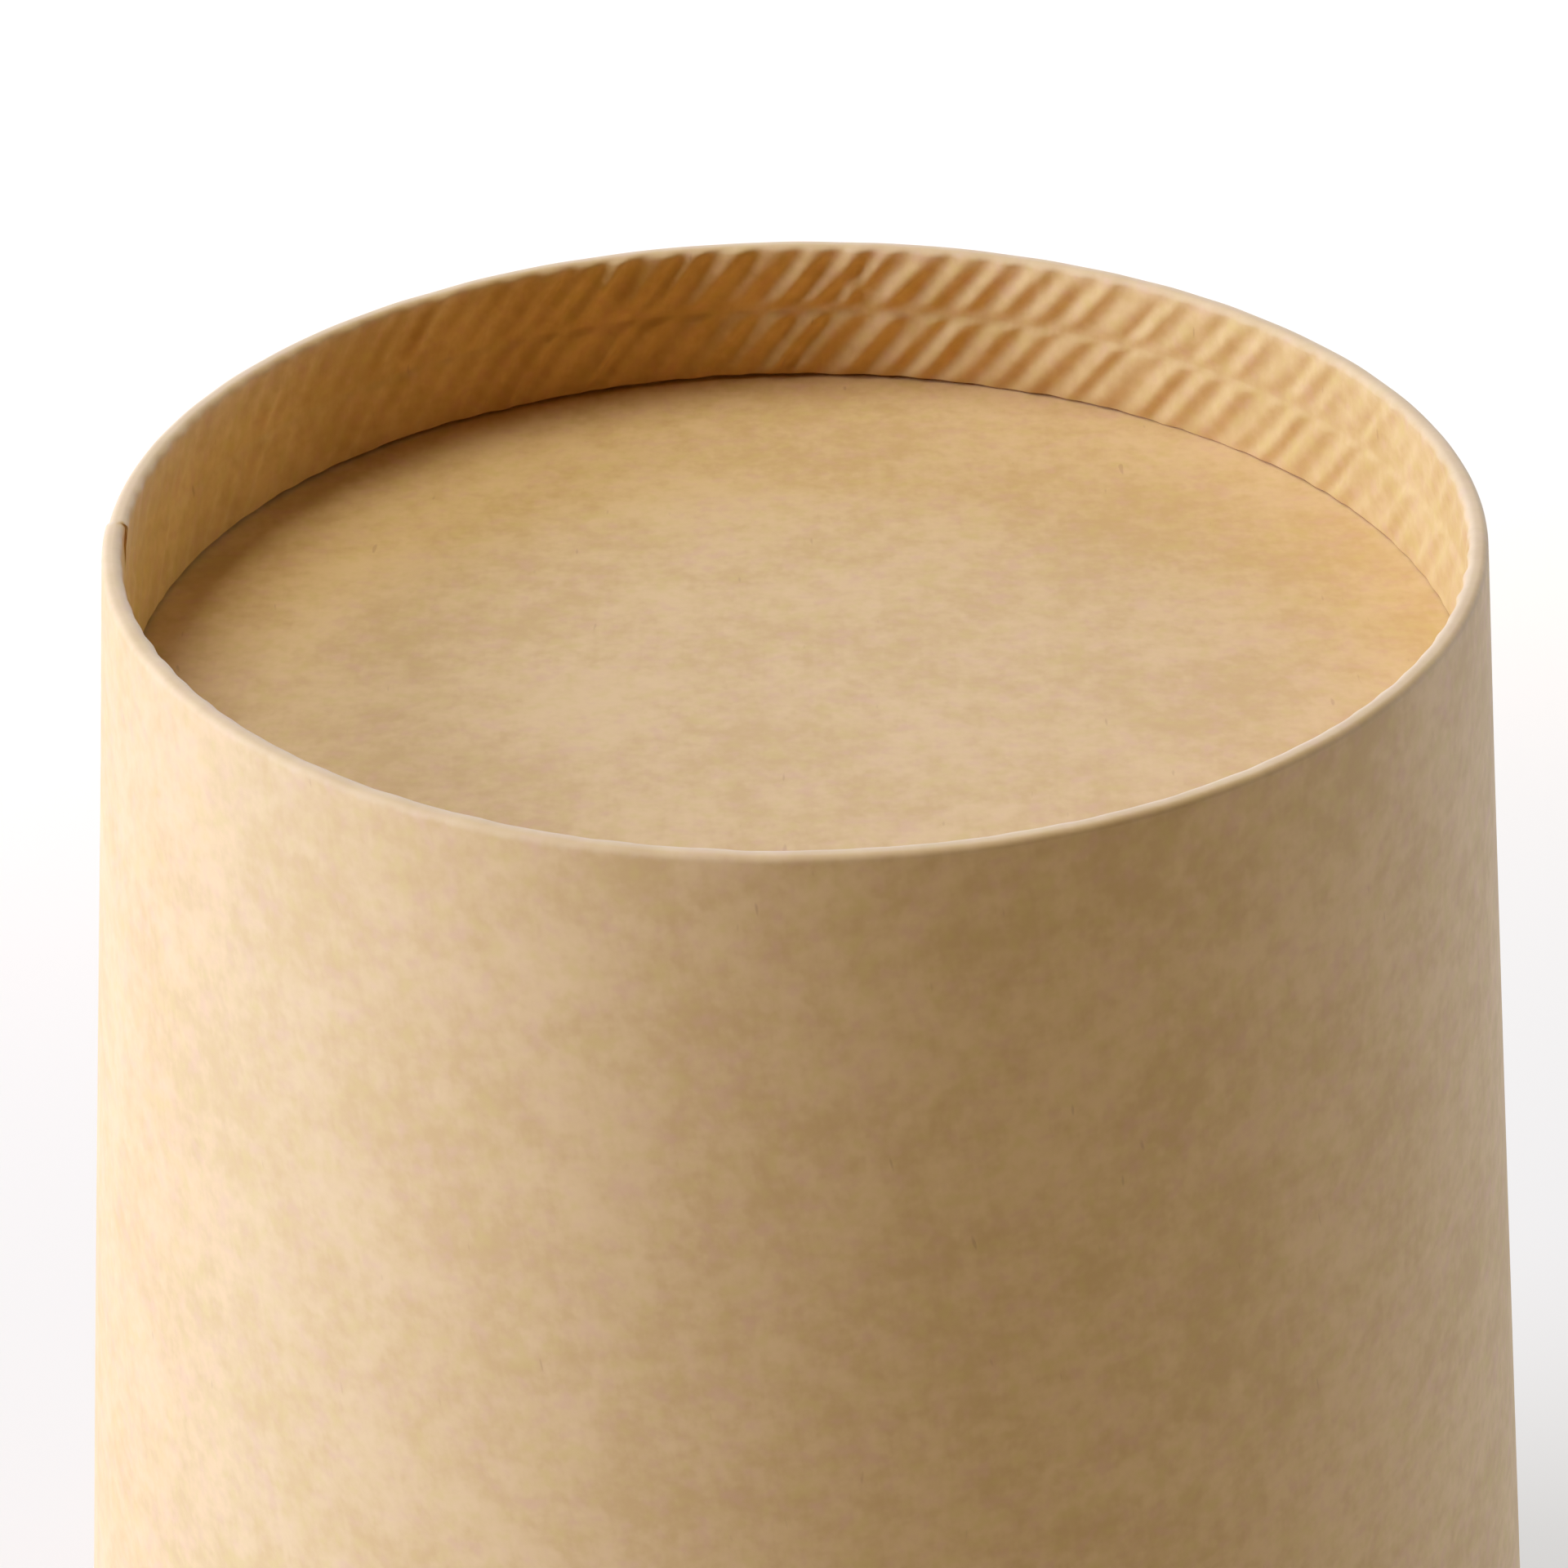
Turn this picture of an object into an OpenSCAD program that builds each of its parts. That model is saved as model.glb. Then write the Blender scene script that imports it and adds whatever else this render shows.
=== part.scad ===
// Paper soup cup stored upside down: it stands on its rolled rim and the recessed base is on top.
// The origin is the centre of the circle that the rim stands on, with +Z up through the foot.
// The cup is two pieces of board: the side wall, folded in over the skirt of the base disc.

/* [Cup] */
// Height from the rolled rim to the folded foot
height = 99; // [70:1:130]
// Diameter across the folded foot
foot_d = 75; // [60:1:85]
// Diameter across the rolled rim
mouth_d = 98; // [92:1:115]

/* [Board] */
// Thickness of the side wall's board
wall_t = 0.36; // [0.26:0.02:0.5]
// Thickness of the base disc's board
base_t = 0.3; // [0.2:0.02:0.44]
// Clearance between boards that are pressed together
pinch_gap = 0.02; // [0.01:0.01:0.05]

/* [Side seam] */
// Direction of the seam's outer edge, in degrees from +X towards +Y
lap_angle = 181; // [0:1:359]
// Width of the overlap, measured at the foot
lap_w = 7.5; // [5:0.5:12]
// How far the overlap stands out from the outside of the wall
lap_out = 0.15; // [0.06:0.02:0.24]
// Distance from the base to the top of the overlap inside the cup
lap_stop = 1; // [0.6:0.2:3]

/* [Foot] */
// Depth of the recess, from the foot to the base
recess = 9; // [7:0.5:14]
// Inside radius of the two bends that fold the wall over at the foot
fold_r = 0.05; // [0.02:0.01:0.08]
// Gap between the folded edge and the base
edge_gap = 0.25; // [0.1:0.05:0.8]
// How far the folded edge springs away from the skirt
edge_spring = 0.35; // [0:0.05:0.5]

/* [Base] */
// Height of the skirt above the outside of the base
skirt_h = 4.7; // [3:0.1:5.2]
// Inside radius of the bend from the base to its skirt
skirt_bend_r = 0.3; // [0.1:0.05:0.8]

/* [Crimping] */
// Number of slanting ridges round each band
ridge_n = 96; // [60:1:110]
// Slant of the ridges from upright
ridge_slant = 40; // [0:1:45]
// Width of a ridge where it meets the board
ridge_w = 1.3; // [0.7:0.1:1.3]
// Width of a ridge along its crown
crown_w = 0.5; // [0.2:0.1:0.7]
// Height of a ridge above the board
ridge_h = 0.2; // [0.1:0.02:0.3]
// Plain board left at each end of a band of ridges
band_end = 0.25; // [0.1:0.05:0.5]

/* [Rolled rim] */
// Diameter of the roll
roll_d = 2.9; // [2.4:0.1:3.6]
// Width of the flat that the roll stands on
rim_flat = 0.3; // [0.1:0.05:0.5]
// Turn of the tucked end inside the roll, in degrees past one full turn
roll_tuck = 70; // [20:5:90]

/* [Hidden] */
$fn = 192;

// Longest turn between two stations on a bend
bend_step = 9;
// How far ridges and overlaps are set into the board that carries them
set_in = wall_t / 3;

// Points are [radius, height]. Middle lines run through the board's thickness.
fold_mid = fold_r + wall_t / 2;
crest_c = [foot_d / 2 - fold_r - wall_t, height - fold_r - wall_t];
roll_r = roll_d / 2;
flat_turn = asin(rim_flat / roll_d);
roll_c = [mouth_d / 2 - roll_r, roll_r * cos(flat_turn)];
roll_mid = roll_r - wall_t / 2;
tuck_mid = roll_mid - wall_t - pinch_gap;
half_mid = (roll_mid + tuck_mid) / 2;
half_c = roll_c + [roll_mid - half_mid, 0];

// The wall is the straight line that touches both the fold and the roll
span = roll_c - crest_c;
lean = atan2(span.x, -span.y) - asin((fold_mid + roll_mid) / norm(span));
down = [sin(lean), -cos(lean)];
out = [cos(lean), sin(lean)];

// The folded edge: beside the wall with room for the skirt, then sprung inwards below the skirt's top
pocket = base_t + 2 * pinch_gap;
crest_flat = (pocket - 2 * fold_r) / cos(lean);
inner_c = crest_c - [crest_flat, 0];
base_z = height - recess;
skirt_top = base_z + skirt_h;
flap_start = inner_c - fold_mid * out;
flap_kink = flap_start + down * (flap_start.y - skirt_top) / cos(lean);
flap_edge = flap_kink + down * (skirt_h - edge_gap) / cos(lean) - [edge_spring, 0];
flap_lean = atan2(flap_edge.x - flap_kink.x, flap_kink.y - flap_edge.y);

// The base disc: flat, then bent up into a skirt that lies along the inside of the wall
skirt_off = (wall_t + base_t) / 2 + pinch_gap;
skirt_mid = skirt_bend_r + base_t / 2;
skirt_line = crest_c + (fold_mid - skirt_off) * out;
bend_z = base_z + skirt_bend_r;
bend_x = skirt_line.x + tan(lean) * (skirt_line.y - bend_z) - skirt_mid / cos(lean);
skirt_end = skirt_line + down * (skirt_line.y - skirt_top) / cos(lean);

function dir(a) = [cos(a), sin(a)];

// Stations along a bend: each is a point on the middle line and the normal to the board's outside
function bend(c, r, a0, a1, side) =
    let (n = ceil(abs(a1 - a0) / bend_step))
    [for (i = [0:n]) let (a = a0 + (a1 - a0) * i / n) [c + r * dir(a), side * dir(a)]];

// Closed outline of a board of thickness t along its stations
function board(path, t) = concat(
    [for (s = path) s[0] + s[1] * t / 2],
    [for (i = [len(path) - 1:-1:0]) path[i][0] - path[i][1] * t / 2]);

// The wall's board from the folded edge, over the foot, down the wall and into the roll
wall_path = concat(
    [[flap_edge, dir(180 + flap_lean)], [flap_kink, dir(180 + (lean + flap_lean) / 2)]],
    bend(inner_c, fold_mid, 180 + lean, 90, 1),
    bend(crest_c, fold_mid, 90, lean, 1),
    bend(roll_c, roll_mid, 180 + lean, 270 - flat_turn, -1),
    bend(roll_c, roll_mid, 270 + flat_turn, 360, -1),
    bend(half_c, half_mid, bend_step, 180, -1),
    bend(roll_c, tuck_mid, 180 + bend_step, 180 + roll_tuck, -1));

// The base disc's board from the centre to the top of the skirt
base_path = concat(
    [[[0, base_z - base_t / 2], [0, 1]]],
    bend([bend_x, bend_z], skirt_mid, 270, 360 + lean, -1),
    [[skirt_end, -out]]);

// One band of slanting ridges, between two points of the folded board's inner face
module crimp_band(low, high) {
    lean_back = atan2(low.x - high.x, high.y - low.y);
    middle = (low + high) / 2;
    run = norm(high - low) - 2 * band_end;
    length = (run - ridge_w * sin(ridge_slant)) / cos(ridge_slant);
    section = [[set_in, -ridge_w / 2], [set_in, ridge_w / 2], [0, ridge_w / 2],
               [-ridge_h, crown_w / 2], [-ridge_h, -crown_w / 2], [0, -ridge_w / 2]];
    for (i = [0:ridge_n - 1])
        rotate([0, 0, 360 * i / ridge_n])
            translate([middle.x, 0, middle.y])
                rotate([0, -lean_back, 0])
                    rotate([ridge_slant, 0, 0])
                        linear_extrude(height = length, center = true)
                            polygon(section);
}

// Extra thickness along a straight stretch of the wall where its two ends overlap
module overlap(top, bottom, grow) {
    rotate([0, 0, lap_angle])
        rotate_extrude(angle = lap_w / (foot_d / 2) * 180 / PI)
            polygon([top, bottom, bottom + grow, top + grow]);
}

module side_wall() {
    face = wall_t / 2;
    inner = dir(180 + lean) * face;
    wall_top = crest_c + fold_mid * out;
    wall_foot = roll_c - roll_mid * out;
    under_base = wall_top + down * (wall_top.y - base_z + base_t + lap_stop) / cos(lean);
    outer_in = (face - set_in) * out;
    color([0.84, 0.7, 0.54]) {
        rotate_extrude() polygon(board(wall_path, wall_t));
        overlap(wall_top + outer_in, wall_foot + outer_in, (set_in + lap_out) * out);
        overlap(under_base - outer_in, wall_foot - outer_in, -(set_in + wall_t - lap_out) * out);
        crimp_band(flap_kink + inner, flap_start + inner);
        crimp_band(flap_edge + inner, flap_kink + inner);
    }
}

module base_disc() {
    color([0.87, 0.73, 0.56])
        rotate_extrude() polygon(board(base_path, base_t));
}

side_wall();
base_disc();
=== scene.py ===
import math

import bmesh
import bpy
import numpy as np
from mathutils import Matrix, Vector


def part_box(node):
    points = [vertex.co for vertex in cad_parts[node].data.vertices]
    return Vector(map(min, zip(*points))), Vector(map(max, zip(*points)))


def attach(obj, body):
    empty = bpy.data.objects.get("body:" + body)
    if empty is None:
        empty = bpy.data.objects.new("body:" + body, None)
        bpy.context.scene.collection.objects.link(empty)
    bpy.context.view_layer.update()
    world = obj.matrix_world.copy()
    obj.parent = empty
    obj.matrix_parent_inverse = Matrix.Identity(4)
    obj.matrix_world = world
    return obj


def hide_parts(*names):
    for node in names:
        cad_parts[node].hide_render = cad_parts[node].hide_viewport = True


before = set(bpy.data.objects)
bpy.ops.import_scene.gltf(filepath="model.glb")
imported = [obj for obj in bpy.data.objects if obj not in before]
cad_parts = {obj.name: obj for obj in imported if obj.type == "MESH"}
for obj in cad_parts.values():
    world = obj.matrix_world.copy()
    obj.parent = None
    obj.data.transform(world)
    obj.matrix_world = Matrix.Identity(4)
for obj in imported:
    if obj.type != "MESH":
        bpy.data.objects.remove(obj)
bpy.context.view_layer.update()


# Base board. A disc of 0.30 mm kraft board, lined on the food side, whose edge is pressed up into
# a skirt. The cup stands upside down, so the disc lies on top with its bare kraft face up, 9 mm
# below the foot, and the side wall is folded in over the skirt and crimped on to it.
MM = 0.001
CUP_AXIS = (0, 0, 1)
base_low, base_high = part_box("base_disc")
base_thick = 0.30 * MM
base_top = base_low.z + base_thick
wall_lean = math.radians(5.27)
lean_degrees = math.degrees(wall_lean)
skirt_bend = Vector((37.28, 0, base_top / MM + 0.30)) * MM
skirt_end = Vector((37.33, 0, base_high.z / MM)) * MM
disc_steps = 22
skirt_steps = 4
base_columns = 384
sectors = 12
weld_distance = 0.002 * MM
sharp_from = math.radians(50)

# The disc isn't flat: how far it sags, and the shares of that in its dip and its two sets of waves
base_sag = 0.12 * MM
dip, broad_waves, short_waves = 0.4, 0.5, 0.35


def ray(degrees):
    """Direction in the XZ plane, from +X towards +Z."""
    return Vector((math.cos(math.radians(degrees)), 0, math.sin(math.radians(degrees))))


class Face:
    """One face of a board's cut section, drawn in the XZ plane stretch by stretch."""

    def __init__(self, cut, start, lined):
        self.cut = cut
        self.run = cut.verts.layers.float["run"]
        self.corners = bmesh.ops.create_vert(cut, co=start)["vert"]
        self.corners[0][cut.verts.layers.float["lined"]] = lined

    def add(self, corner):
        before = self.corners[-1]
        corner[self.run] = before[self.run] + (corner.co - before.co).length
        self.corners.append(corner)

    def line(self, end, steps):
        """A straight stretch of the board."""
        step = (end - self.corners[-1].co) / steps
        for _ in range(steps):
            made = bmesh.ops.extrude_vert_indiv(self.cut, verts=[self.corners[-1]])["verts"]
            bmesh.ops.translate(self.cut, vec=step, verts=made)
            self.add(made[0])

    def bend(self, centre, degrees, steps):
        """A bend in the board: a positive one turns from +X towards +Z."""
        for _ in range(steps):
            made = bmesh.ops.spin(self.cut, geom=[self.corners[-1]], cent=centre, axis=(0, -1, 0),
                                  angle=math.radians(degrees) / steps, steps=1)["geom_last"]
            self.add(next(part for part in made if isinstance(part, bmesh.types.BMVert)))


def new_cut():
    """An empty cut section, with the two notes that every corner carries."""
    cut = bmesh.new()
    cut.verts.layers.float.new("run")
    cut.verts.layers.float.new("lined")
    return cut


def cut_edge(cut, faces, corner):
    """Joins the two faces of a board at one end, across its thickness."""
    bmesh.ops.contextual_create(cut, geom=[face.corners[corner] for face in faces])


def turn_round(cut, columns):
    """Spins a cut section round the cup's axis: a sector in fine steps, then that sector round."""
    sector = math.tau / sectors
    bmesh.ops.spin(cut, geom=cut.verts[:] + cut.edges[:], cent=(0, 0, 0), axis=CUP_AXIS,
                   angle=sector, steps=columns // sectors)
    bmesh.ops.spin(cut, geom=cut.verts[:] + cut.edges[:] + cut.faces[:], cent=(0, 0, 0),
                   axis=CUP_AXIS, angle=sector * (sectors - 1), steps=sectors - 1,
                   use_duplicate=True)
    bmesh.ops.remove_doubles(cut, verts=cut.verts[:], dist=weld_distance)


def as_mesh(cut, name):
    """Turns what was built into a mesh."""
    mesh = bpy.data.meshes.new(name)
    cut.to_mesh(mesh)
    cut.free()
    return mesh


def places(mesh):
    """Where the corners are: distance from the cup's axis, direction and height."""
    place = np.zeros(len(mesh.vertices) * 3)
    mesh.vertices.foreach_get("co", place)
    x, y, z = place.reshape(-1, 3).T
    return np.hypot(x, y), np.arctan2(y, x) % math.tau, z


def note(mesh, name):
    """What the corners carry under a name, as numbers."""
    values = np.zeros(len(mesh.vertices), np.float32)
    mesh.attributes[name].data.foreach_get("value", values)
    return values.astype(float)


def put_back(mesh, radius, azimuth, z):
    """Moves the corners to new places round the cup's axis."""
    place = np.stack([radius * np.cos(azimuth), radius * np.sin(azimuth), z], 1)
    mesh.vertices.foreach_set("co", place.ravel())
    mesh.update()


def ease(value, low, high):
    """0 below low, 1 above high, smooth between."""
    t = np.clip((value - low) / (high - low), 0, 1)
    return t * t * (3 - 2 * t)


def ripple(seed, angle, low, high, climb=0.0):
    """Irregular waves round the cup, from low to high waves a turn, about -1 to 1."""
    chance = np.random.default_rng(seed)
    total = np.zeros_like(angle)
    for count in range(low, high + 1):
        size = chance.uniform(0.3, 1)
        phase = chance.uniform(0, math.tau)
        slope = chance.uniform(-1, 1)
        total += size * np.cos(count * angle + phase + slope * climb)
    return total / math.sqrt(0.5 * (high - low + 1))


def show(mesh, name, node, material):
    """Makes a board's mesh a piece of the scene that stands for its CAD node."""
    mesh.shade_smooth()
    mesh.set_sharp_from_angle(angle=sharp_from)
    mesh.materials.append(material)
    piece = bpy.data.objects.new(name, mesh)
    bpy.context.scene.collection.objects.link(piece)
    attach(piece, "root")
    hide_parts(node)


class Wire:
    """A socket of a material. Sums on it add Math nodes."""

    def __init__(self, finish, socket):
        self.finish = finish
        self.socket = socket

    def sum(self, operation, *values):
        return self.finish.node("Math", {"operation": operation}, dict(enumerate(values)))

    def __add__(self, other):
        return self.sum("ADD", self, other)

    def __mul__(self, other):
        return self.sum("MULTIPLY", self, other)

    def __rsub__(self, other):
        return self.sum("SUBTRACT", other, self)

    def __abs__(self):
        return self.sum("ABSOLUTE", self)


class Finish:
    """A board's material, wired from plain expressions."""

    def __init__(self, name):
        self.material = bpy.data.materials.new(name)
        self.material.use_nodes = True
        self.tree = self.material.node_tree
        self.shader = self.tree.nodes["Principled BSDF"]

    def fill(self, socket, value):
        if isinstance(value, Wire):
            self.tree.links.new(value.socket, socket)
        else:
            socket.default_value = value

    def node(self, kind, settings, sockets, output=0):
        """Adds a node: its settings first, then what its sockets hold or are linked to."""
        made = self.tree.nodes.new("ShaderNode" + kind)
        for setting, value in settings.items():
            setattr(made, setting, value)
        for key, value in sockets.items():
            self.fill(made.inputs[key], value)
        return Wire(self, made.outputs[output])

    def mix(self, factor, first, second, blend="MIX"):
        """Blends a second colour into the first, or stains the first with it (MULTIPLY)."""
        return self.node("Mix", {"data_type": "RGBA", "blend_type": blend},
                         {0: factor, 6: first, 7: second}, 2)

    def between(self, value, low, high):
        """0 where value is at low, 1 at high, smooth between."""
        return self.node("MapRange", {"interpolation_type": "SMOOTHSTEP"},
                         {"Value": value, "From Min": low, "From Max": high})

    def noise(self, place, scale, detail, stretch=(1, 1, 1)):
        """Cloudy noise of about 1 / scale metres, drawn out where stretch is small."""
        laid = self.node("Mapping", {}, {"Vector": place, "Scale": stretch})
        return self.node("TexNoise", {}, {"Vector": laid, "Scale": scale, "Detail": detail})


# Kraft board: its colours, how strongly the patches and shives show, and its two faces
kraft_light = (0.672, 0.414, 0.170, 1)
kraft_dark = (0.541, 0.319, 0.109, 1)
kraft_pink = (0.608, 0.322, 0.176, 1)
kraft_olive = (0.570, 0.380, 0.103, 1)
kraft_shive = (0.300, 0.165, 0.070, 1)
patch_strength = 0.5
shive_strength = 0.4
film_rough, bare_rough = 0.38, 0.82
board_relief = 0.006 * MM


def kraft(finish, place):
    """Unbleached board: cloudy formation, fibres along the sheet and a few dark shives."""
    grain = finish.noise(place, 1300, 3)
    clouds = finish.noise(place, 480, 3)
    drifts = finish.noise(place, 130, 3)
    broad = finish.noise(place, 45, 2)
    blush = finish.noise(place, 1000, 2) * 0.6 + finish.noise(place, 300, 2) * 0.4
    strands = finish.noise(place, 2600, 3, (1, 0.22, 1))
    shives = finish.noise(place, 1700, 1, (1, 0.24, 1))
    cloudy = grain * 0.20 + clouds * 0.30 + drifts * 0.28 + broad * 0.14 + strands * 0.08
    pink = finish.between(blush, 0.50, 0.68) * patch_strength
    olive = finish.between(blush, 0.50, 0.32) * patch_strength
    flecks = finish.between(shives, 0.75, 0.82) * shive_strength
    tint = finish.mix(finish.between(cloudy, 0.39, 0.61), kraft_dark, kraft_light)
    for factor, colour in ((pink, kraft_pink), (olive, kraft_olive), (flecks, kraft_shive)):
        tint = finish.mix(factor, tint, colour)
    height = strands * 0.45 + clouds * 0.7 + grain * 0.5
    return tint, height


def finish_board(finish, colour, height, lined):
    """Bare board is dull. The lined face is smoother, with the sheen of its thin clear film."""
    finish.fill(finish.shader.inputs["Base Color"], colour)
    finish.fill(finish.shader.inputs["Roughness"], bare_rough - lined * (bare_rough - film_rough))
    finish.shader.inputs["Specular IOR Level"].default_value = 0.5
    bump = finish.node("Bump", {}, {"Height": height, "Strength": 1.0, "Distance": board_relief})
    finish.fill(finish.shader.inputs["Normal"], bump)


base_cut = new_cut()
base_faces = []
across_skirt = ray(lean_degrees) * base_thick / 2
for lined, level, side, bend_steps in ((0.0, base_top, -1, 5), (1.0, base_low.z, 1, 6)):
    face = Face(base_cut, (0, 0, level), lined)
    face.line(Vector((skirt_bend.x, 0, level)), disc_steps)
    face.bend(skirt_bend, 90 + lean_degrees, bend_steps)
    face.line(skirt_end + across_skirt * side, skirt_steps)
    base_faces.append(face)
cut_edge(base_cut, base_faces, -1)
turn_round(base_cut, base_columns)
bmesh.ops.recalc_face_normals(base_cut, faces=base_cut.faces[:])
base_mesh = as_mesh(base_cut, "base_board")

radius, azimuth, z = places(base_mesh)
share = radius / skirt_bend.x
middle = 1 - ease(share, 0.80, 0.99)
swell = (share * ripple(3, azimuth, 1, 3) * broad_waves
         + share ** 2 * ripple(4, azimuth, 2, 6) * short_waves)
z += base_sag * middle * (swell - dip * (1 - share ** 2))
put_back(base_mesh, radius, azimuth, z)

base_finish = Finish("base_kraft")
base_spot = base_finish.node("TexCoord", {}, {}, "Object")
base_tint, base_grain = kraft(base_finish, base_spot)
base_lined = base_finish.node("Attribute", {"attribute_name": "lined"}, {}, "Fac")
finish_board(base_finish, base_tint, base_grain, base_lined)
show(base_mesh, "base_board", "base_disc", base_finish.material)


# Side wall board. One fan-shaped sheet of 0.36 mm kraft board, lined inside, wrapped into a cone
# and heat sealed at a lapped seam. At the foot it is folded in over the base's skirt and crimped
# with two bands of slanting ridges, and at the mouth it is rolled outwards into a rim.
_, wall_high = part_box("side_wall")
wall_thick = 0.36 * MM
half_wall = wall_thick / 2
foot_z = wall_high.z
fold_mid = 0.23 * MM
crest_flat = 0.241 * MM
crest_centre = Vector((37.09, 0, foot_z / MM - 0.41)) * MM
hem_centre = crest_centre - Vector((crest_flat, 0, 0))
roll_radius = 1.45 * MM
roll_centre = Vector((wall_high.x - roll_radius, 0, 1.442 * MM))
roll_mid = roll_radius - half_wall
tuck_mid = 0.89 * MM
tuck_turn = 70
half_roll_mid = (roll_mid + tuck_mid) / 2
half_roll_centre = roll_centre + Vector((roll_mid - half_roll_mid, 0, 0))
rim_flat_turn = 5.94
hem_lean = 1.6
hem_edge = Vector((37.04, 0, 90.25)) * MM
skirt_crease = Vector((36.975, 0, 94.7)) * MM
crease_band = 0.6 * MM
join_depth = 2.4 * MM
join_gap = 0.8 * MM
hem_columns = 1152
wall_columns = 384
fan_radius = 409.5 * MM
wall_wave = 0.05 * MM

# Crimping: ridges a turn and their slant, where the grooves of each band start as a share of the
# pitch, how high the ridges are and how unevenly, how far the grooves near the crest sink in, and
# the height of the fine ripple over it all and of the shoulder over the skirt's edge
ridge_count = 96
columns_a_ridge = hem_columns // ridge_count
ridge_slant = math.tan(math.radians(38.7))
ridge_start = 3 / 12
lower_shift = 5 / 12
wander_share = 0.13
ridge_rise = 0.24 * MM
patchiness = 0.22
groove_sink = 0.06 * MM
fine_ripple = 0.012 * MM
shoulder_step = 0.012 * MM

# How hard the crimping bit, by direction in degrees
bite_at = (0, 20, 45, 65, 78, 90, 105, 120, 135, 175, 200, 290, 360)
bite = (0.6, 0.55, 1.0, 1.1, 1.3, 1.7, 1.6, 1.15, 0.5, 0.35, 0.8, 0.8, 0.6)
crest_bite = 0.9

# Creases where the board was caught in the crimping: direction in degrees, then in mm how deep
# each starts and ends, its width and its height
creases = ((84.3, 0.7, 4.2, 0.42, 0.10),
           (83.4, 0.9, 4.0, 0.35, -0.14),
           (80.2, 1.4, 3.5, 0.45, 0.13),
           (65.1, 0.2, 3.0, 0.30, 0.08),
           (48.6, 1.2, 3.2, 0.50, -0.10),
           (230.0, 1.0, 3.6, 0.40, 0.11),
           (311.0, 0.8, 3.9, 0.40, -0.12),
           (147.5, 1.6, 3.8, 0.45, 0.09))

# Uneven edges: how far the crest dips, how far the folded edge waves and how far it hangs lower
# towards the right
crest_dip = 0.035 * MM
edge_wave = 0.055 * MM
edge_drop = 0.13 * MM

# Side seam: directions of the sheet's outer and inner cut edges, how far each layer stands out
# from the wall and at the crest, how far round the cup they ease back, how wide the step at a cut
# edge is, and how far round the ridges fade into the lap and out of it, and by how much
seam_outer = math.radians(181)
seam_inner = math.radians(192.4)
seam_out = 0.15 * MM
seam_in = 0.21 * MM
seam_at_crest = 0.15 * MM
outer_ease = math.radians(30)
inner_ease = math.radians(5)
crest_ease = math.radians(40)
cut_width = 0.02 * MM
lap_fade_in, lap_fade_out = 0.02, 0.2
lap_damping = 0.5

# The board's look where it was pressed and folded
crest_pale = (0.70, 0.52, 0.30, 1)
# Painted shade: the hem's tint, deeper and more orange, stands in for the warm bounce light in its
# recess
hem_shade_tint = (0.99, 0.96, 0.78, 1)
scuff_strength = 0.34
crumple_strength = 6


def from_crest(face, crest):
    """Counts a face's run from the middle of the crest, negative towards the folded edge."""
    start = face.corners[crest][face.run]
    for corner in face.corners:
        corner[face.run] -= start


wall_down = Vector((math.sin(wall_lean), 0, -math.cos(wall_lean)))
join_below = (join_depth - (foot_z - crest_centre.z)) / math.cos(wall_lean)

# The hem: crest, both sides of the fold and a little of the wall, in fine columns
hem_cut = new_cut()
hem_faces = []
for lined, side, fine in ((0.0, 1, True), (1.0, -1, False)):
    reach = fold_mid + side * half_wall
    crease = skirt_crease + ray(180 + lean_degrees) * side * half_wall
    face = Face(hem_cut, hem_edge + ray(180 + hem_lean) * side * half_wall, lined)
    if fine:
        face.line(crease - Vector((0, 0, crease_band)), 9)
    face.line(crease, 6 if fine else 2)
    face.line(hem_centre + ray(180 + lean_degrees) * reach, 11 if fine else 2)
    face.bend(hem_centre, -90 - lean_degrees, 5 if fine else 3)
    face.line(crest_centre + ray(90) * reach, 2)
    crest = len(face.corners) - 2
    face.bend(crest_centre, lean_degrees - 90, 5 if fine else 3)
    face.line(crest_centre + ray(lean_degrees) * reach + wall_down * join_below, 2)
    from_crest(face, crest)
    hem_faces.append(face)
cut_edge(hem_cut, hem_faces, 0)
hem_runs = [face.corners[-1][face.run] for face in hem_faces]
hem_ends = [face.corners[-1].co.copy() for face in hem_faces]
join_radius = sum(end.x for end in hem_ends) / 2
turn_round(hem_cut, hem_columns)
hem_mesh = as_mesh(hem_cut, "hem")

# The cone and the rolled rim, in coarser columns
wall_cut = new_cut()
wall_faces = []
for lined, side, hem_end, hem_run, steps in zip((0.0, 1.0), (1, -1), hem_ends, hem_runs,
                                                ((10, 5, 5, 9), (7, 9, 10, 18))):
    inside = -side * half_wall
    face = Face(wall_cut, hem_end + wall_down * join_gap, lined)
    face.corners[0][face.run] = hem_run + join_gap
    face.line(roll_centre + ray(180 + lean_degrees) * (roll_mid + inside), steps[0])
    face.bend(roll_centre, 90 - lean_degrees - rim_flat_turn, steps[1])
    face.line(roll_centre + ray(270 + rim_flat_turn) * (roll_mid + inside), 1)
    face.bend(roll_centre, 90 - rim_flat_turn, steps[2])
    face.bend(half_roll_centre, 180, steps[3])
    face.bend(roll_centre, tuck_turn, 4)
    wall_faces.append(face)
cut_edge(wall_cut, wall_faces, -1)
turn_round(wall_cut, wall_columns)
wall_cut.from_mesh(hem_mesh)
bpy.data.meshes.remove(hem_mesh)
open_edges = [edge for edge in wall_cut.edges if edge.is_boundary]
joins = [[edge for edge in open_edges if (edge.verts[0].co.xy.length > join_radius) == outer]
         for outer in (True, False)]
for join in joins:
    bmesh.ops.bridge_loops(wall_cut, edges=join)
bmesh.ops.recalc_face_normals(wall_cut, faces=wall_cut.faces[:])
wall_mesh = as_mesh(wall_cut, "side_wall_board")

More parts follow.
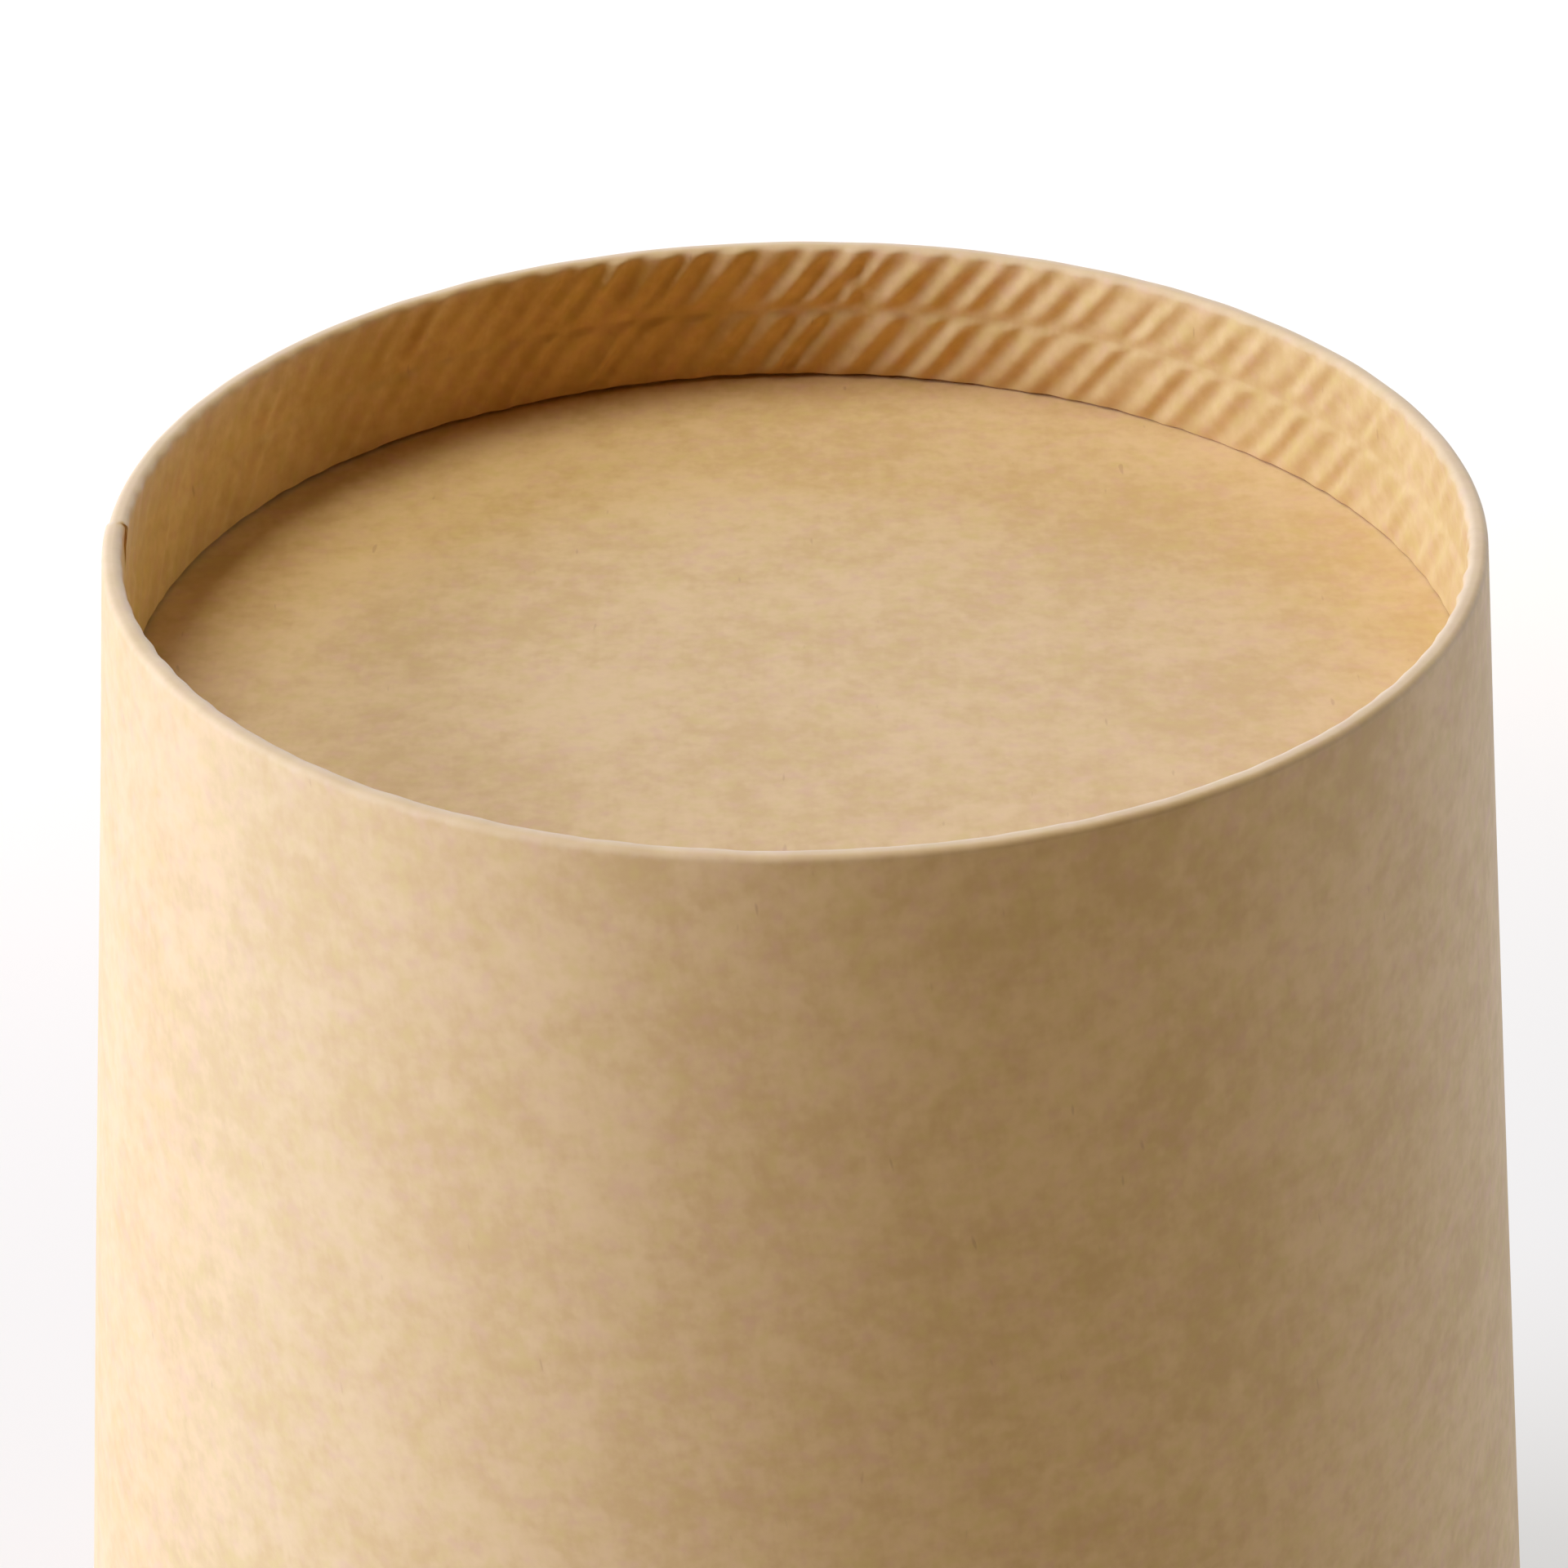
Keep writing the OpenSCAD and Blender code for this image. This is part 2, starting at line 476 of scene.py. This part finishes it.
radius, azimuth, z = places(wall_mesh)
run, lined = note(wall_mesh, "run"), note(wall_mesh, "lined")
down_mm = (foot_z - z) / MM
run_mm = run / MM
outside = lined < 0.5
folded = run < 0
hem_face = folded & outside
in_hem = run <= max(hem_runs) + 0.01 * MM
column = azimuth * ridge_count / math.tau
column_turn = math.tau / np.where(in_hem, hem_columns, wall_columns)

# The wall and the mouth aren't perfectly round, and both faces share their waves
on_cone = ease(run_mm, 2, 12) * (1 - ease(down_mm, 90, 95))
radius += wall_wave * on_cone * ripple(21, azimuth, 1, 8, z / (18 * MM))


def gather(azimuth, edge):
    """Draws the columns on either side of a cut edge together, so that the step there is sharp."""
    off = azimuth - edge
    gathered = edge + np.sign(off) * cut_width / radius / 2
    return np.where(np.abs(off) < column_turn, gathered, azimuth)


# The seam: each layer's cut edge is a sharp step, and the sheet eases back beyond the lap. The
# outer step starts on the crest, and the inner one below the base and ends in the roll
past_outer = (azimuth > seam_outer) * (1 - ease(azimuth, seam_inner, seam_inner + outer_ease))
past_inner = (azimuth < seam_inner) * ease(azimuth, seam_outer - inner_ease, seam_outer)
azimuth = gather(gather(azimuth, seam_outer), seam_inner)
in_roll = down_mm > (foot_z - 2 * roll_radius) / MM
tube = np.stack([radius - roll_centre.x, z - roll_centre.z])
tube_way = tube / np.maximum(np.hypot(*tube), 1e-9)
outer_step = past_outer * seam_out * ease(run_mm, -0.45, 0.35)
inner_step = past_inner * seam_in * ease(run_mm, 9, 11)
roll_step = past_inner * seam_in * (1 - ease(run_mm, 103, 105))
roll_step = np.where(~outside & in_roll, roll_step, 0)
radius += np.where(outside & ~in_roll, outer_step, 0)
radius -= np.where(~outside & ~in_roll, inner_step, 0)
radius += roll_step * tube_way[0]
z = np.maximum(z + roll_step * tube_way[1], 0)
past_crest = (azimuth > seam_outer) * (1 - ease(azimuth, seam_outer, seam_outer + crest_ease))
radius += np.where(hem_face, past_crest * seam_at_crest * (1 - ease(down_mm, 0.5, 2.5)), 0)

# Crimping: every ridge has its own height, and each groove wanders a little
chance = np.random.default_rng(11)
ridge_gain = chance.uniform(0.65, 1.2, (2, ridge_count))
groove_shift = chance.uniform(-wander_share, wander_share, ridge_count)
wander = np.interp(column, np.arange(ridge_count), groove_shift, period=ridge_count)


def crimp(column, gain):
    """Height of a band's ridges: rounded crowns, with grooves at whole columns."""
    crown = np.sin(math.pi * (column % 1)) ** 2
    return crown * gain[np.floor(column + 1e-6).astype(int) % ridge_count]


column = np.round(column * columns_a_ridge) / columns_a_ridge + ridge_start
slanted = ridge_slant * (foot_z - z) / hem_centre.x
turned = azimuth + slanted
firm = np.interp(np.degrees(turned) % 360, bite_at, bite)
firm += (1 - ease(down_mm, 0.3, 0.9)) * np.maximum(crest_bite - firm, 0)
patchy = 1 + patchiness * ripple(41, turned, 20, 90, down_mm * 1.6)

# The two bands fade in and out with depth, in mm below the foot, and the upper one is flatter
# at the lap
upper = crimp(column, ridge_gain[0])
upper_fade = (ease(down_mm, -0.1, 0.4) * (0.52 + 0.48 * ease(down_mm, 0.5, 1.6))
              * (1 - ease(down_mm, 3.4, 4.35)))
lower = crimp(column + lower_shift, ridge_gain[1])
lower_fade = 1.1 * ease(down_mm, 4.35, 5.0) * (1 - 0.7 * ease(down_mm, 8.2, 8.75))
at_lap = (ease(azimuth, seam_outer - lap_fade_in, seam_outer + lap_fade_in)
          * (1 - ease(azimuth, seam_inner, seam_inner + lap_fade_out)))
ridges = upper * upper_fade * (1 - lap_damping * at_lap) + lower * lower_fade
rise = ridge_rise * ridges * firm * patchy - groove_sink * upper_fade
rise += fine_ripple * ripple(42, turned, 60, 190, down_mm * 4) * ease(down_mm, 0.3, 1.0)

# The skirt's upper edge shows through as a low shoulder between the two bands
step_in = ease(down_mm, 4.40, 4.66)
below_skirt_edge = step_in * (1 - 0.5 * ease(down_mm, 4.8, 8))
above_skirt_edge = 0.55 * ease(down_mm, 2.6, 4.3) * (1 - step_in)
rise += shoulder_step * (below_skirt_edge - above_skirt_edge)

# The fold turns the grooves with it, so the columns slant too
azimuth += np.where(folded, slanted, 0)
wander_turn = wander * math.tau / ridge_count
azimuth += np.where(hem_face, wander_turn * ease(down_mm, 0.0, 0.4), 0)

for direction, top, bottom, width, height in creases:
    aside = (azimuth - math.radians(direction)) * radius / MM / width
    along = ease(down_mm, top, top + 0.7) * (1 - ease(down_mm, bottom - 0.8, bottom))
    rise += height * MM * np.exp(-aside ** 2) * along
radius -= np.where(hem_face, rise, 0)

# The crest is a little uneven, and the folded edge wasn't cut quite straight
at_crest = 1 - ease(np.abs(run_mm), 0.3, 1.0)
z -= crest_dip * at_crest * (1 + ripple(31, azimuth, 3, 60)) / 2
waves = 0.55 * ripple(32, azimuth, 4, 24) + 0.45 * ripple(33, azimuth, 40, 110)
to_right = ease(np.cos(azimuth - 0.3), 0.2, 0.9)
z += np.where(folded, edge_wave * waves * ease(down_mm, 7.7, 8.7), 0)
z -= np.where(folded, edge_drop * to_right * ease(down_mm, 5.5, 8.7), 0)
put_back(wall_mesh, radius, azimuth, z)


def lay_flat(mesh, run, azimuth):
    """UV map of the flat blank, in metres: a fan whose two ends meet at the seam's outer edge."""
    corner = np.zeros(len(mesh.loops), np.int32)
    mesh.loops.foreach_get("vertex_index", corner)
    first = np.zeros(len(mesh.polygons), np.int32)
    mesh.polygons.foreach_get("loop_start", first)
    turn = (azimuth[corner] - seam_outer) % math.tau
    sides = np.diff(np.append(first, len(corner)))
    lowest = np.repeat(np.minimum.reduceat(turn, first), sides)
    highest = np.repeat(np.maximum.reduceat(turn, first), sides)
    turn += math.tau * ((highest - lowest > math.pi) & (turn < math.pi))
    fan = (turn - math.pi) * math.sin(wall_lean)
    reach = fan_radius + run[corner]
    flat = np.stack([reach * np.sin(fan), -reach * np.cos(fan)], 1).astype(np.float32)
    mesh.uv_layers.new(name="blank").data.foreach_set("uv", flat.ravel())


lay_flat(wall_mesh, run, azimuth)

# The hem is more crumpled and tinted a little deeper with painted shade, and the crest is scuffed
# pale
wall_finish = Finish("wall_kraft")
wall_spot = wall_finish.node("UVMap", {"uv_map": "blank"}, {})
wall_tint, wall_grain = kraft(wall_finish, wall_spot)
wall_run = wall_finish.node("Attribute", {"attribute_name": "run"}, {}, "Fac")
pressed = wall_finish.between(wall_run, -0.4 * MM, -1.4 * MM)
# Painted shade: the folded hem is tinted deeper and more orange for the warm bounce light in its
# recess
wall_tint = wall_finish.mix(pressed, wall_tint, hem_shade_tint, "MULTIPLY")
wall_grain = wall_grain + wall_finish.noise(wall_spot, 620, 3) * pressed * crumple_strength
from_fold = abs(wall_run) + wall_finish.noise(wall_spot, 1400, 2) * 0.5 * MM
scuffed = wall_finish.between(from_fold, 1.10 * MM, 0.55 * MM)
wall_tint = wall_finish.mix(scuffed * scuff_strength, wall_tint, crest_pale)
wall_lined = wall_finish.node("Attribute", {"attribute_name": "lined"}, {}, "Fac")
finish_board(wall_finish, wall_tint, wall_grain, wall_lined)
show(wall_mesh, "side_wall_board", "side_wall", wall_finish.material)


# Studio. A pale table, a broad window light from the left, a skylight, softer lights behind and at
# the right and one over the table behind the cup, and a camera that looks down at the foot from
# the front, at the photograph's angle and distance.
lamp_distance = 0.8
foot_radius = 37.5 * MM

table_cut = bmesh.new()
bmesh.ops.create_grid(table_cut, x_segments=1, y_segments=1, size=3.0)
table_mesh = as_mesh(table_cut, "table")
table = bpy.data.objects.new("table", table_mesh)
bpy.context.scene.collection.objects.link(table)
table_finish = Finish("pale_table")
table_finish.shader.inputs["Base Color"].default_value = (0.52, 0.49, 0.42, 1)
table_finish.shader.inputs["Roughness"].default_value = 0.9
table_finish.shader.inputs["Emission Color"].default_value = (1, 1, 0.96, 1)
table_finish.shader.inputs["Emission Strength"].default_value = 0.42
table_mesh.materials.append(table_finish.material)

world = bpy.data.worlds.new("studio")
world.use_nodes = True
world.node_tree.nodes["Background"].inputs["Color"].default_value = (1, 0.55, 0.10, 1)
world.node_tree.nodes["Background"].inputs["Strength"].default_value = 0.10
bpy.context.scene.world = world


def soft_light(name, azimuth, elevation, power, tint, size=0.5):
    """A square soft light aimed at the middle of the foot."""
    lamp = bpy.data.lights.new(name, "AREA")
    lamp.size = size
    lamp.color = tint
    lamp.energy = power
    light = bpy.data.objects.new(name, lamp)
    bpy.context.scene.collection.objects.link(light)
    turn, tilt = math.radians(azimuth), math.radians(elevation)
    away = Vector((math.cos(turn) * math.cos(tilt), math.sin(turn) * math.cos(tilt),
                   math.sin(tilt)))
    light.location = Vector((0, 0, foot_z)) + away * lamp_distance
    light.rotation_euler = away.to_track_quat("Z", "Y").to_euler()
    return light


soft_light("window", 180, 12, 16.4, (1, 1.061, 1.522))
soft_light("skylight", 160, 60, 7.3, (1, 0.947, 0.855))
soft_light("right_fill", 30, 12, 3.1, (1, 1.107, 0.935))
soft_light("back_light", 90, 12, 3.5, (1, 1.73, 3.5))

# A low strip, and a narrow light that shines straight down on the table behind the cup
low_fill = soft_light("low_fill", 30, 0, 3.8, (0.10, 0.28, 1))
low_fill.data.shape = "RECTANGLE"
low_fill.data.size_y = 0.12
backdrop = soft_light("backdrop_light", 90, 45, 7.0, (1, 0.8, 0.5), 0.7)
backdrop.data.spread = math.radians(70)
backdrop.location = (0, 0.62, 0.55)
backdrop.rotation_euler = (0, 0, 0)

# The camera: its reach is how far the foot's middle is to the right, up and away, in foot radii
camera_pitch = math.radians(29.7638)
camera_roll = math.radians(-0.7755)
camera_reach = Vector((0.0168, 0.4024, 6.5408)) * foot_radius
forward = Vector((0, math.cos(camera_pitch), -math.sin(camera_pitch)))
level_right = Vector((1, 0, 0))
level_up = Vector((0, math.sin(camera_pitch), math.cos(camera_pitch)))
right = math.cos(camera_roll) * level_right + math.sin(camera_roll) * level_up
up = -math.sin(camera_roll) * level_right + math.cos(camera_roll) * level_up
lens = bpy.data.cameras.new("camera")
lens.lens = 103.125
lens.sensor_width = 36
camera = bpy.data.objects.new("camera", lens)
bpy.context.scene.collection.objects.link(camera)
where = (Vector((0, 0, foot_z)) - right * camera_reach.x - up * camera_reach.y
         - forward * camera_reach.z)
facing = Matrix((right, up, -forward)).transposed().to_4x4()
camera.matrix_world = Matrix.Translation(where) @ facing
bpy.context.scene.camera = camera

# The picture's response: straight in the shadows, and a soft shoulder up to white
brightest = 2
response = bpy.context.scene.view_settings
response.view_transform = "Standard"
response.use_curve_mapping = True
response.curve_mapping.white_level = (brightest, brightest, brightest)
shoulder = response.curve_mapping.curves[3]
for light, shown in ((0.1, 0.095), (0.25, 0.222), (0.5, 0.400), (0.75, 0.545),
                     (1.0, 0.667), (1.25, 0.769), (1.5, 0.857), (1.75, 0.935)):
    shoulder.points.new(light / brightest, shown)
shoulder.points[-1].location = (0.95, 1.0)
response.curve_mapping.update()
